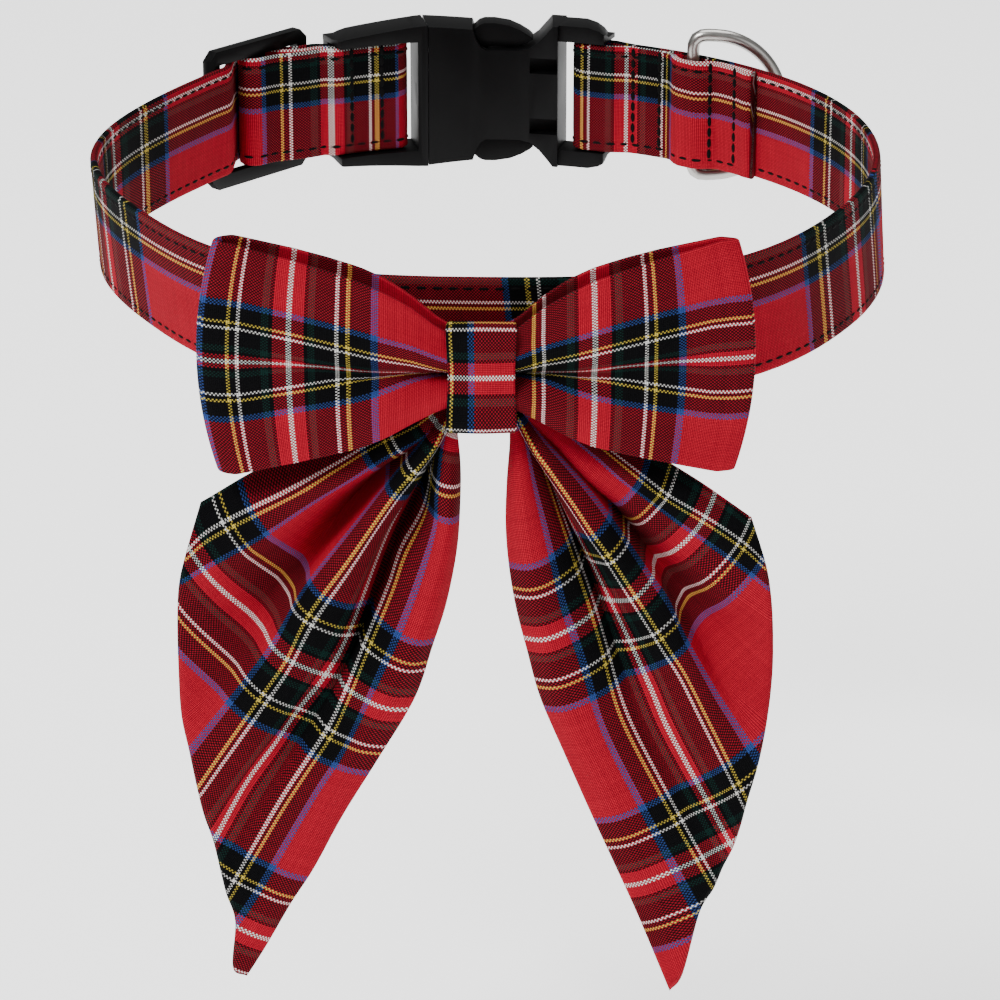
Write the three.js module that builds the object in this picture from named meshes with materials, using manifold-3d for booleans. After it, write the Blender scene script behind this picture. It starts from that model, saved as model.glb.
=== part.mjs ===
// Pet bow tie collar: a tartan strap with slider, side-release buckle and D-ring, and a bow with two tails.
// Millimetres, +Z up, origin at the middle of the neck ring. The buckle is at the back (+Y), the bow at -Y.
import * as THREE from 'three';
import { mergeVertices } from 'three/addons/utils/BufferGeometryUtils.js';
import Module from 'manifold-3d';

const wasm = await Module();
wasm.setup();

// Driving dimensions of the ring and the strap
const ringRadius = 84.5;      // mean radius of the strap's middle line
const strapWidth = 25;
const strapThick = 1.6;
const layerGap = 0.3;         // clearance between touching layers and pieces
const ringLean = 2.5;         // how far the strap's lower edge leans to the right of its upper edge

// The ring's plan, anticlockwise from +X, as shares of the mean radius
const ringShape = [
  { turn: 0, reach: 0.972 }, { turn: 30, reach: 0.984 }, { turn: 60, reach: 1.0 }, { turn: 90, reach: 1.02 },
  { turn: 120, reach: 1.012 }, { turn: 150, reach: 0.96 }, { turn: 180, reach: 0.972 },
  { turn: 210, reach: 0.955 }, { turn: 240, reach: 1.01 }, { turn: 270, reach: 0.99 },
  { turn: 300, reach: 1.04 }, { turn: 330, reach: 0.985 },
];

// Buckle. Places along the ring are arcs from the back's middle, positive to the right
const buckleHeight = 33;
const buckleThick = 10;
const cutReach = 2 * buckleThick;   // cuts reach this far inwards and outwards of the back
const buckleSeam = -14.6;     // where the two halves meet
const maleLength = 22.3;      // frame of the male half, without its arms
const femaleLength = 43;
const buckleBar = 2.6;        // thickness of the bars that the strap folds round
const endBarLength = 5.5;     // the female half's flat end bar
const buckleSeat = -1.2;      // the bars' middle, outwards from the ring line
const housingWall = 1.8;
const railClear = 0.3;        // between a rail and the strap's edge
const slotWidth = 4.8;        // open slot beside each wrapped bar
const windowStart = 10.6;     // side window, from the seam
const windowLength = 20;
const armThick = 3.2;
const armGap = 0.4;           // between an arm and the tongue
const armRoom = 0.6;          // between an arm and the housing's wall
const guideHeight = 5;
const guideReach = 10;        // guide past the window's start
const guideRoom = 3;          // the housing's channel over the guide
const cavityReach = [4, 13];  // the housing's hollow and its channel, past the window's start
const seamPlate = 2.5;        // the male half's plate behind the seam
const maleEndBar = 3.4;       // its bar over the strap's layers
const railStep = 1.2;         // the female half's rails stand back from its faces
const barMargin = 1;          // rails' ends past the end bar
const mouthTaper = [0.1, 1.2];      // the housing narrows from the seam to the window
const pocketLong = 6.2;       // the two blind pockets in the housing's inner face
const pocketWide = 3.6;
const pocketDeep = 2;
const pocketEdge = 1.6;       // from a pocket to the side window

// Side window and arm pad from the window's start to its end, above the tongue, as shares of the window's
// length and of its depth
const windowOutline = [
  { along: 0, up: 1.3 }, { along: 0.02, up: 0.8 }, { along: 0.06, up: 0.4 }, { along: 0.11, up: 0.12 },
  { along: 0.17, up: 0 }, { along: 0.56, up: 0 }, { along: 0.68, up: 0.1 }, { along: 0.79, up: 0.38 },
  { along: 0.89, up: 0.77 }, { along: 1.02, up: 1.3 },
];
const armPad = [
  { along: 0.1, up: 0.88 }, { along: 0.16, up: 0.95 }, { along: 0.28, up: 0.95 }, { along: 0.45, up: 0.86 },
  { along: 0.58, up: 0.68 }, { along: 0.68, up: 0.48 }, { along: 0.72, up: 0.36 }, { along: 0.65, up: 0.2 },
  { along: 0.58, up: 0.1 }, { along: 0.5, up: 0.067 },
];
// Rails narrow to their ends: along from the end as shares of the half's end, cut as shares of the rail
const maleTaper = [
  { along: 0, cut: 0.68 }, { along: 0.04, cut: 0.58 }, { along: 0.12, cut: 0.46 }, { along: 0.5, cut: 0.24 },
  { along: 0.82, cut: 0.05 }, { along: 0.95, cut: 0 },
];
const femaleTaper = [
  { along: 0, cut: 0.72 }, { along: 0.14, cut: 0.46 }, { along: 0.42, cut: 0.18 }, { along: 0.85, cut: 0 },
];

// Slider
const sliderCentre = -55.2;   // arc from the back's middle
const sliderLength = 30;
const sliderHeight = 32;
const sliderThick = 2.4;
const sliderBar = 4;
const sliderRail = 3;
const sliderTilt = 4;         // degrees that its plate turns out of the ring's tangent
const sliderSeat = 2.7;       // its middle bar, outwards from the ring line
const sliderCorner = 2;

// D-ring
const dRingCentre = 51.2;     // arc from the back's middle to its straight leg
const dRingWire = 2.8;
const dRingInnerHeight = 29.5;
const dRingDepth = 20;        // straight leg's axis to the far side
const dRingRise = 1.45;       // its middle stands this much above the strap's
const dRingCorner = 2.4;      // bend between the straight leg and the bow
const dRingStraight = 0.22;   // share of the depth before the bow's round side
const pocketFlat = 4.5;
const pocketSlope = 4.5;
const sewnEnd = 69.2;         // arc of the strap's sewn end, right of the buckle

// Bow
const bowCentre = -1.4;
const bowHalfLength = 54.4;
const bowHalfHeight = 23.4;
const bowHalfDepth = 4.75;
const bowPinchDepth = 3;
const bowWall = 1.2;
const cornerPull = 0.07;      // share by which the loops' corners draw in
const valleyDepth = 2;        // fold that runs out from the knot along the front's middle
const valleyReach = 0.75;     // how far out it runs, as a share of the loop's length
const valleySpread = 0.3;     // its half height, as a share of the loop's
const openReach = 0.28;       // share of the loop over which it opens beside the knot
const knotWidth = 13.4;
const knotHeight = 22.8;
const knotDepth = 14;
const knotWall = 1.2;
const knotDrop = 2.8;         // knot's middle below the strap's
const knotRound = 2.5;
const tailWall = 2;
const tailLength = 122;       // from the knot's middle down to the tips
const tailSpread = 60;        // from the knot's middle out to the tails' widest place
const tailPleat = 3.2;        // height of a pleat's ridge above the tail's middle surface
const tailForward = 3.2;      // how far a tail stands forward of its seat below the loops
const tailEase = 14;          // height over which it comes forward

// Loop height from the knot to the end fold, as shares of the loop's half length, half height and knot drop
const loopShape = [
  { out: 0, half: 0.31, drop: 0.7 }, { out: 0.13, half: 0.33, drop: 0.65 },
  { out: 0.24, half: 0.5, drop: 0.3 },
  { out: 0.33, half: 0.62, drop: 0.24 }, { out: 0.43, half: 0.72, drop: 0.18 },
  { out: 0.55, half: 0.8, drop: 0.1 }, { out: 0.68, half: 0.875, drop: 0.04 },
  { out: 0.93, half: 1, drop: 0 }, { out: 1, half: 1, drop: 0 },
];

// Tail outlines, out from the knot's middle and down from it, as shares of tailSpread and tailLength
const leftTail = {
  top: [
    { out: 0.06, down: 0.02 }, { out: 0.15, down: 0.035 },
    { out: 0.33, down: 0.105 }, { out: 0.53, down: 0.148 },
    { out: 0.72, down: 0.182 }, { out: 0.92, down: 0.235 },
  ],
  outer: [
    { out: 0.92, down: 0.235 }, { out: 0.985, down: 0.335 },
    { out: 1.01, down: 0.45 }, { out: 1.01, down: 0.6 },
    { out: 0.96, down: 0.75 }, { out: 0.88, down: 0.93 }, { out: 0.81, down: 1.085 },
  ],
  inner: [
    { out: 0.06, down: 0.075 }, { out: 0.13, down: 0.085 },
    { out: 0.09, down: 0.14 }, { out: 0.075, down: 0.22 },
    { out: 0.09, down: 0.33 }, { out: 0.165, down: 0.49 },
    { out: 0.34, down: 0.69 }, { out: 0.57, down: 0.9 },
    { out: 0.78, down: 1.085 },
  ],
};
const rightTail = {
  top: [
    { out: 0.06, down: 0.02 }, { out: 0.15, down: 0.035 },
    { out: 0.33, down: 0.1 }, { out: 0.52, down: 0.148 },
    { out: 0.72, down: 0.205 }, { out: 0.89, down: 0.265 },
  ],
  outer: [
    { out: 0.89, down: 0.265 }, { out: 0.955, down: 0.4 },
    { out: 0.965, down: 0.53 }, { out: 0.9, down: 0.75 },
    { out: 0.785, down: 0.91 }, { out: 0.66, down: 1.12 },
  ],
  inner: [
    { out: 0.06, down: 0.075 }, { out: 0.13, down: 0.085 },
    { out: 0.095, down: 0.14 }, { out: 0.08, down: 0.27 },
    { out: 0.115, down: 0.42 }, { out: 0.195, down: 0.575 },
    { out: 0.36, down: 0.78 }, { out: 0.53, down: 0.98 },
    { out: 0.625, down: 1.12 },
  ],
};

// Pleats across a tail from its top edge to its inner edge: ridges stand forward, valleys back
const tailPleats = [
  { across: 0, lift: 0 }, { across: 0.1, lift: 0.7 }, { across: 0.24, lift: -1 }, { across: 0.42, lift: 1 },
  { across: 0.58, lift: -0.6 }, { across: 0.72, lift: 0.7 }, { across: 0.86, lift: -0.5 },
  { across: 1, lift: 0.5 },
];

// Surfaces
const cloth = () => new THREE.MeshStandardMaterial({ color: 0xa81f2c, roughness: 0.9, metalness: 0 });
const plastic = () => new THREE.MeshStandardMaterial({ color: 0x17181a, roughness: 0.5, metalness: 0 });
const nickel = () => new THREE.MeshStandardMaterial({ color: 0xb9b4aa, roughness: 0.3, metalness: 1 });

const radians = THREE.MathUtils.degToRad;
const smooth = (t) => THREE.MathUtils.smoothstep(t, 0, 1);

// Piecewise interpolation of one column of a table against another
function column(rows, key, name, x, ease = (t) => t) {
  const i = rows.findIndex((row) => row[key] >= x);
  if (i <= 0) return (i === 0 ? rows[0] : rows[rows.length - 1])[name];
  const [a, b] = [rows[i - 1], rows[i]];
  return THREE.MathUtils.lerp(a[name], b[name], ease((x - a[key]) / (b[key] - a[key])));
}

// The ring line: a closed smooth curve through the plan's rows
function ringReach(turn) {
  const step = 360 / ringShape.length;
  const place = ((turn / step) % ringShape.length + ringShape.length) % ringShape.length;
  const i = Math.floor(place);
  const at = (k) => ringShape[(k + ringShape.length) % ringShape.length].reach;
  const t = place - i;
  const [a, b, c, d] = [at(i - 1), at(i), at(i + 1), at(i + 2)];
  return b + 0.5 * t * (c - a + t * (2 * a - 5 * b + 4 * c - d + t * (3 * (b - c) + d - a)));
}

function ringPoint(turn, out = 0) {
  const radius = ringRadius * ringReach(turn) + out;
  return new THREE.Vector2(radius * Math.cos(radians(turn)), radius * Math.sin(radians(turn)));
}

const backRadius = ringRadius * ringReach(90);
const turnAt = (arc) => 90 - THREE.MathUtils.radToDeg(arc / backRadius);
const arcPoint = (arc, out) => ringPoint(turnAt(arc), out);

// A ribbon of even thickness along a plan line, as a shape to raise
function ribbonShape(line, thick, roundEnds = false) {
  const sides = [[], []];
  line.forEach((point, i) => {
    const ahead = line[Math.min(i + 1, line.length - 1)];
    const behind = line[Math.max(i - 1, 0)];
    const along = ahead.clone().sub(behind).normalize();
    const across = new THREE.Vector2(-along.y, along.x).multiplyScalar(thick / 2);
    sides[0].push(point.clone().add(across));
    sides[1].push(point.clone().sub(across));
  });
  const cap = (centre, from) => {
    const start = Math.atan2(from.y - centre.y, from.x - centre.x);
    return [1, 2, 3, 4, 5].map((k) => new THREE.Vector2(
      centre.x + Math.cos(start - k * Math.PI / 6) * thick / 2,
      centre.y + Math.sin(start - k * Math.PI / 6) * thick / 2));
  };
  const last = line.length - 1;
  const outline = [...sides[0]];
  if (roundEnds) outline.push(...cap(line[last], sides[0][last]));
  outline.push(...sides[1].reverse());
  if (roundEnds) outline.push(...cap(line[0], sides[1][last]));
  return new THREE.Shape(outline);
}

function raise(shape, height, lift = 0) {
  const geometry = new THREE.ExtrudeGeometry(shape, { depth: height, bevelEnabled: false });
  return geometry.translate(0, 0, lift - height / 2);
}

// A block that follows the ring from one arc to another
function ringBlock(from, to, inner, outer, height, lift = 0) {
  const steps = Math.max(2, Math.ceil(Math.abs(to - from) / 2.5));
  const line = [];
  for (let i = 0; i <= steps; i++) {
    line.push(arcPoint(THREE.MathUtils.lerp(from, to, i / steps), (inner + outer) / 2));
  }
  return raise(ribbonShape(line, outer - inner), height, lift);
}

// A front outline cut through the back of the ring, along Y
function frontCut(points) {
  const depth = 2 * cutReach;
  const shape = new THREE.Shape(points.map(([x, z]) => new THREE.Vector2(x, z)));
  const geometry = new THREE.ExtrudeGeometry(shape, { depth, bevelEnabled: false });
  return geometry.rotateX(Math.PI / 2).translate(0, backRadius + depth / 2, 0);
}

// Solids for joining and cutting
function solid(geometry) {
  const plain = geometry.clone();
  plain.deleteAttribute('normal');
  plain.deleteAttribute('uv');
  const merged = mergeVertices(plain, 1e-4);
  return new wasm.Manifold(new wasm.Mesh({
    numProp: 3,
    vertProperties: new Float32Array(merged.attributes.position.array),
    triVerts: new Uint32Array(merged.index.array),
  }));
}

function geometryOf(manifold) {
  const { vertProperties, triVerts } = manifold.getMesh();
  const geometry = new THREE.BufferGeometry();
  geometry.setAttribute('position', new THREE.BufferAttribute(new Float32Array(vertProperties), 3));
  geometry.setIndex(new THREE.BufferAttribute(new Uint32Array(triVerts), 1));
  return geometry;
}

const joined = (parts) => parts.map(solid).reduce((a, b) => a.add(b));

// A wall of cloth around a middle surface. Rows run round the sheet where it is closed, else end at edges
function sheetGeometry(surface, acrossSteps, alongSteps, thick, closed) {
  const columns = closed ? acrossSteps : acrossSteps + 1;
  const positions = [];
  const delta = 1e-3;
  for (const side of [1, -1]) {
    for (let j = 0; j <= alongSteps; j++) {
      for (let i = 0; i < columns; i++) {
        const [u, v] = [i / acrossSteps, j / alongSteps];
        const du = surface(closed ? u + delta : Math.min(u + delta, 1), v)
          .sub(surface(closed ? u - delta : Math.max(u - delta, 0), v));
        const dv = surface(u, Math.min(v + delta, 1)).sub(surface(u, Math.max(v - delta, 0)));
        const normal = du.cross(dv).normalize();
        positions.push(...surface(u, v).addScaledVector(normal, side * thick / 2).toArray());
      }
    }
  }
  const at = (side, i, j) => side * columns * (alongSteps + 1) + j * columns + (i % columns);
  const indices = [];
  const quad = (a, b, c, d) => indices.push(a, b, c, a, c, d);
  for (let j = 0; j < alongSteps; j++) {
    for (let i = 0; i < acrossSteps; i++) {
      quad(at(0, i, j), at(0, i + 1, j), at(0, i + 1, j + 1), at(0, i, j + 1));
      quad(at(1, i, j), at(1, i, j + 1), at(1, i + 1, j + 1), at(1, i + 1, j));
    }
  }
  for (let i = 0; i < acrossSteps; i++) {
    quad(at(0, i, 0), at(1, i, 0), at(1, i + 1, 0), at(0, i + 1, 0));
    quad(at(0, i, alongSteps), at(0, i + 1, alongSteps), at(1, i + 1, alongSteps), at(1, i, alongSteps));
  }
  if (!closed) {
    for (let j = 0; j < alongSteps; j++) {
      quad(at(0, 0, j), at(0, 0, j + 1), at(1, 0, j + 1), at(1, 0, j));
      quad(at(0, acrossSteps, j), at(1, acrossSteps, j), at(1, acrossSteps, j + 1), at(0, acrossSteps, j + 1));
    }
  }
  const geometry = new THREE.BufferGeometry();
  geometry.setAttribute('position', new THREE.Float32BufferAttribute(positions, 3));
  geometry.setIndex(indices);
  return geometry;
}

function named(name, geometry, material) {
  const mesh = new THREE.Mesh(geometry, material);
  mesh.name = name;
  return mesh;
}

// Places that the strap and the hardware share
const wrapReach = buckleBar / 2 + layerGap + strapThick / 2;
const layerStep = strapThick + layerGap;
const wideStep = strapThick + 2.5 * layerGap;
const dRingSeat = -(strapThick / 2 + layerGap + dRingWire / 2);
const maleEnd = buckleSeam - maleLength;
const femaleEnd = buckleSeam + femaleLength;
const femaleBarStart = femaleEnd - barMargin - endBarLength;
const tongueHalf = buckleHeight / 2 - housingWall - armRoom - armThick - armGap;
const femaleWrap = femaleBarStart + buckleBar / 2;
const maleBarEnd = buckleSeam - seamPlate - slotWidth + layerGap + strapThick / 2;
const maleWrap = maleBarEnd - buckleBar / 2;
const railInner = strapWidth / 2 + railClear;
const railThick = buckleHeight / 2 - railInner;
const buckleInner = buckleSeat + 0.4 - buckleThick / 2;
const buckleOuter = buckleInner + buckleThick;
const endBarSeat = 0.6;       // outer layer where it passes under the male half's end bar
const sliderWrap = sliderThick / 2 + 2 * layerGap + strapThick / 2;
const sliderOver = sliderSeat + sliderWrap + layerStep + layerGap / 3;
const sliderHalf = sliderLength / 2;
const railReach = sliderThick / 2 + layerGap + strapThick / 2;
const sliderAngle = arcPoint(sliderCentre + 1, 0).sub(arcPoint(sliderCentre - 1, 0)).angle()
  + radians(sliderTilt);
const rightRailSeat = plateOut(sliderHalf - sliderRail / 2) - railReach - layerGap / 2;
const leftRailSeat = plateOut(sliderRail / 2 - sliderHalf) - railReach - layerGap / 2;
const barEdge = sliderBar / 2;

// How far out of the ring line a place on the slider's plate stands
function plateOut(along) {
  const place = arcPoint(sliderCentre, sliderSeat)
    .add(new THREE.Vector2(Math.cos(sliderAngle), Math.sin(sliderAngle)).multiplyScalar(along));
  return place.length() - ringRadius * ringReach(THREE.MathUtils.radToDeg(place.angle()));
}

// The strap's layers at the back, outwards from the ring line, by arc
const layers = [
  { arc: sliderCentre - sliderHalf - 9, outer: 0 },
  { arc: sliderCentre - sliderHalf + sliderRail, outer: leftRailSeat },
  { arc: sliderCentre - barEdge + 0.5, outer: sliderOver, middle: sliderSeat + sliderWrap,
    neck: sliderSeat - sliderWrap },
  { arc: sliderCentre + barEdge - 0.5, outer: sliderOver, middle: sliderSeat + sliderWrap,
    neck: sliderSeat - sliderWrap },
  { arc: sliderCentre + sliderHalf - sliderRail - 0.4, outer: rightRailSeat, middle: rightRailSeat - wideStep,
  
    neck: rightRailSeat - 2 * wideStep },
  { arc: sliderCentre + sliderHalf + 0.4, outer: rightRailSeat, middle: rightRailSeat - wideStep,
    neck: rightRailSeat - 2 * wideStep },
  { arc: maleEnd, outer: endBarSeat, middle: endBarSeat - layerStep - layerGap / 2,
    neck: buckleSeat - wrapReach },
  { arc: maleEnd + 4, outer: endBarSeat, middle: endBarSeat - layerStep - layerGap / 2,
    neck: buckleSeat - wrapReach },
  { arc: maleWrap - buckleBar, outer: buckleSeat + wrapReach, middle: buckleSeat, neck: buckleSeat - wrapReach },
  
  { arc: maleWrap, outer: buckleSeat + wrapReach, middle: buckleSeat, neck: buckleSeat - wrapReach },
  { arc: femaleWrap, outer: buckleSeat + wrapReach, neck: buckleSeat - wrapReach },
  { arc: femaleEnd, outer: buckleSeat + wrapReach, neck: buckleSeat - wrapReach },
  { arc: femaleEnd + 6.5, outer: 0, neck: -layerStep },
  { arc: dRingCentre - pocketFlat / 2 - pocketSlope, outer: 0, neck: -layerStep },
  { arc: dRingCentre - pocketFlat / 2, outer: 0, neck: 2 * dRingSeat },
  { arc: dRingCentre + pocketFlat / 2, outer: 0, neck: 2 * dRingSeat },
  { arc: dRingCentre + pocketFlat / 2 + pocketSlope, outer: 0, neck: -layerStep },
  { arc: sewnEnd, outer: 0, neck: -layerStep },
];

function layerLine(name, from, to, step = 1.6) {
  const rows = layers.filter((row) => row[name] !== undefined);
  const count = Math.ceil(Math.abs(to - from) / step);
  const points = [];
  for (let i = 0; i <= count; i++) {
    const arc = THREE.MathUtils.lerp(from, to, i / count);
    points.push(arcPoint(arc, column(rows, 'arc', name, arc, smooth)));
  }
  return points;
}

// Half a turn round a bar, from one layer to the next
function foldLine(arc, out, radius, toRight, outwards) {
  const centre = arcPoint(arc, out);
  const radial = centre.clone().normalize();
  const tangent = new THREE.Vector2(radial.y, -radial.x).multiplyScalar(toRight ? 1 : -1);
  const start = radial.clone().multiplyScalar(outwards ? -1 : 1);
  const points = [];
  for (let k = 1; k < 8; k++) {
    const a = k * Math.PI / 8;
    points.push(centre.clone().addScaledVector(start, radius * Math.cos(a))
      .addScaledVector(tangent, radius * Math.sin(a)));
  }
  return points;
}

// The whole strap as one line: sewn end, female bar, round the neck, slider, male bar, slider's middle bar
function strapLine() {
  const firstRow = layers[0].arc;
  const backArc = THREE.MathUtils.radToDeg((sewnEnd - firstRow) / backRadius);
  const ringSteps = 84;
  const round = [];
  for (let i = 1; i < ringSteps; i++) {
    round.push(ringPoint(turnAt(sewnEnd) - (360 - backArc) * i / ringSteps));
  }
  const sliderBarWrap = sliderCentre - barEdge + sliderThick / 2;
  return [
    ...layerLine('neck', sewnEnd, femaleWrap),
    ...foldLine(femaleWrap, buckleSeat, wrapReach, false, true),
    ...layerLine('outer', femaleWrap, sewnEnd),
    ...round,
    ...layerLine('outer', firstRow, maleWrap, 1.2),
    ...foldLine(maleWrap, buckleSeat, wrapReach, true, false),
    ...layerLine('neck', maleWrap, sliderBarWrap, 1.2),
    ...foldLine(sliderBarWrap, sliderSeat, sliderWrap, false, true),
    ...layerLine('middle', sliderBarWrap, maleWrap - buckleBar / 2 - strapThick - 2 * layerGap, 1.2),
  ];
}

// The front half leans: its lower edge stands further right, and the sewn back stays upright
function leaned(geometry) {
  const position = geometry.attributes.position;
  for (let i = 0; i < position.count; i++) {
    const share = smooth((ringRadius * 0.5 - position.getY(i)) / ringRadius);
    position.setX(i, position.getX(i) - ringLean * share * position.getZ(i) / strapWidth);
  }
  return geometry;
}

function makeStrap() {
  return named('collar_strap', leaned(raise(ribbonShape(strapLine(), strapThick), strapWidth)), cloth());
}

// Slider: a plate with two slots, its middle bar under the strap
function makeSlider() {
  const half = sliderHeight / 2;
  const corner = sliderCorner;
  const plate = new THREE.Shape([
    [-sliderHalf, -half + corner], [-sliderHalf + corner, -half], [sliderHalf - corner, -half],
    [sliderHalf, -half + corner], [sliderHalf, half - corner], [sliderHalf - corner, half],
    [-sliderHalf + corner, half], [-sliderHalf, half - corner],
  ].map(([x, z]) => new THREE.Vector2(x, z)));
  let body = solid(raise(plate, sliderThick));
  for (const side of [-1, 1]) {
    const slotLength = sliderHalf - sliderRail - barEdge;
    const slot = new THREE.BoxGeometry(slotLength, 2 * railInner, 2 * sliderThick);
    body = body.subtract(solid(slot.translate(side * (barEdge + slotLength / 2), 0, 0)));
  }
  const geometry = geometryOf(body).rotateX(Math.PI / 2);
  const mesh = named('slider', geometry, plastic());
  const seat = arcPoint(sliderCentre, sliderSeat);
  mesh.position.set(seat.x, seat.y, 0);
  mesh.rotation.z = sliderAngle;
  return mesh;
}

// Top and bottom copies of a front outline
const bothEnds = (points) => [points, points.map(([x, z]) => [x, -z])];

const placeX = (arc) => arcPoint(arc, buckleSeat).x;

// Places along the side window's outline and up from the tongue
function windowPoints(rows, from, to) {
  const depth = buckleHeight / 2 - tongueHalf;
  return rows.map(({ along, up }) => [THREE.MathUtils.lerp(from, to, along), tongueHalf + up * depth]);
}

// What is cut off a rail that narrows to its end
function taperPoints(rows, endX, run) {
  const half = buckleHeight / 2;
  const [outside, inside] = [endX - run, endX + rows[rows.length - 1].along * run];
  return [[outside, half + 2], [outside, half - rows[0].cut * railThick],
    ...rows.map(({ along, cut }) => [endX + along * run, half - cut * railThick]), [inside, half + 2]];
}

const windowEnds = [windowStart, windowStart + windowLength].map((along) => placeX(buckleSeam + along));

function femaleHousing() {
  const half = buckleHeight / 2;
  const bodyEnd = femaleBarStart - slotWidth;
  const rail = (side) => ringBlock(bodyEnd - 1, femaleEnd, buckleInner + railStep, buckleOuter - railStep,
    railThick, side * (half - railThick / 2));
  const outer = joined([
    ringBlock(buckleSeam + layerGap / 2, bodyEnd, buckleInner, buckleOuter, buckleHeight), rail(1), rail(-1),
  ]);
  const barEnd = femaleEnd - barMargin;
  const barLine = [femaleWrap, (femaleWrap + barEnd) / 2, barEnd - buckleBar / 2]
    .map((arc) => arcPoint(arc, buckleSeat));
  return outer.add(solid(raise(ribbonShape(barLine, buckleBar, true), 2 * railInner + railThick)));
}

function makeFemale() {
  const half = buckleHeight / 2;
  const over = half + 2;
  const [windowFrom, windowTo] = windowEnds;
  const [seamX, endX] = [placeX(buckleSeam), placeX(femaleEnd)];
  const window = windowPoints(windowOutline, windowFrom, windowTo);
  const corner = taperPoints(femaleTaper, endX, -endBarLength);
  const taper = [[seamX - 1, over], [seamX - 1, half - mouthTaper[0]], [windowFrom + 1, half - mouthTaper[1]],
    [windowFrom + 1, over]];
  const hollow = (reach, height) => ringBlock(buckleSeam - 2, buckleSeam + windowStart + reach,
    buckleInner + housingWall, buckleOuter - housingWall, height);
  const cuts = [
    hollow(cavityReach[0], buckleHeight - 2 * housingWall), hollow(cavityReach[1], guideHeight + guideRoom),
    ...[window, corner, taper].flatMap(bothEnds).map(frontCut),
  ];
  const pocketX = placeX(buckleSeam + windowStart + windowLength - pocketLong - layerGap);
  const pocketTop = tongueHalf - pocketEdge;
  const pocket = [[pocketX, pocketTop - pocketWide], [pocketX + pocketLong, pocketTop - pocketWide],
    [pocketX + pocketLong, pocketTop], [pocketX, pocketTop]];
  for (const points of bothEnds(pocket)) {
    cuts.push(frontCut(points).translate(0, buckleInner + pocketDeep - cutReach, 0));
  }
  const body = cuts.reduce((rest, cut) => rest.subtract(solid(cut)), femaleHousing());
  return named('buckle_female', geometryOf(body), plastic());
}

// Male half: rails and bars that hold the strap, two spring arms and a guide tongue
function makeMale() {
  const half = buckleHeight / 2;
  const armClear = housingWall + 0.5;
  const [armInner, armOuter] = [buckleInner + armClear, buckleOuter - armClear];
  const plateStart = buckleSeam - seamPlate;
  const windowArc = buckleSeam + windowStart;
  const rail = (side) => ringBlock(maleEnd, plateStart + 0.5, buckleInner, buckleOuter, railThick,
    side * (half - railThick / 2));
  const barEnds = [maleWrap - 0.1, maleWrap + 0.1].map((arc) => arcPoint(arc, buckleSeat));
  const frame = joined([
    ringBlock(plateStart, buckleSeam - layerGap / 2, buckleInner, buckleOuter, buckleHeight),
    ringBlock(maleEnd, maleEnd + maleEndBar, endBarSeat + strapThick / 2 + layerGap, buckleOuter,
      buckleHeight),
    ringBlock(plateStart, windowArc + guideReach, armInner, armOuter, guideHeight),
    rail(1), rail(-1), raise(ribbonShape(barEnds, buckleBar, true), 2 * railInner + railThick),
  ]);
  const armBlank = solid(ringBlock(plateStart + 0.5, windowArc + windowLength, armInner, armOuter,
    buckleHeight));
  const armLow = tongueHalf + armGap;
  const rootX = placeX(buckleSeam) - seamPlate - 0.5;
  const arm = [[rootX, armLow + armThick], [windowEnds[0], armLow + armThick],
    ...windowPoints(armPad, ...windowEnds), [rootX, armLow]];
  const corner = taperPoints(maleTaper, placeX(maleEnd), maleLength);
  const arms = bothEnds(arm).map((points) => armBlank.intersect(solid(frontCut(points))));
  const body = arms.reduce((rest, one) => rest.add(one), frame);
  const cut = bothEnds(corner).reduce((rest, points) => rest.subtract(solid(frontCut(points))), body);
  return named('buckle_male', geometryOf(cut), plastic());
}

// D-ring: a straight leg in the strap's pocket and a bowed side, one wire
function makeDRing() {
  const half = (dRingInnerHeight + dRingWire) / 2;
  const corner = dRingCorner;
  const straight = dRingDepth * dRingStraight;
  const points = [];
  const add = (x, z) => points.push(new THREE.Vector3(x, 0, z));
  add(0, 0);
  add(0, half - 2 * corner);
  add(0, half - corner);
  for (const a of [30, 60]) {
    add(corner * (1 - Math.cos(radians(a))), half - corner * (1 - Math.sin(radians(a))));
  }
  add(corner, half);
  for (let k = 0; k <= 16; k++) {
    const a = Math.PI * (0.5 - k / 16);
    add(straight + (dRingDepth - straight) * Math.cos(a), half * Math.sin(a));
  }
  add(corner, -half);
  for (const a of [60, 30]) {
    add(corner * (1 - Math.cos(radians(a))), corner * (1 - Math.sin(radians(a))) - half);
  }
  add(0, corner - half);
  add(0, 2 * corner - half);
  const section = new THREE.Shape(
    [...Array(8).keys()].map((k) => new THREE.Vector2(
      Math.cos(k * Math.PI / 4) * dRingWire / 2, Math.sin(k * Math.PI / 4) * dRingWire / 2)));
  const path = new THREE.CatmullRomCurve3(points, true, 'centripetal');
  const geometry = new THREE.ExtrudeGeometry(section, { steps: 60, bevelEnabled: false, extrudePath: path });
  const mesh = named('d_ring', geometry, nickel());
  const seat = arcPoint(dRingCentre, dRingSeat);
  mesh.position.set(seat.x, seat.y, dRingRise);
  return mesh;
}

// Places in the bow
const knotBack = -(ringRadius * ringReach(270) + strapThick / 2 + layerGap);
const knotMiddle = knotBack - knotDepth / 2;
const loopsMiddle = knotBack - knotDepth + knotWall + layerGap + bowWall / 2 + bowPinchDepth;
const tailSeat = knotBack - knotWall - 2 * layerGap - tailWall / 2;

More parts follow.
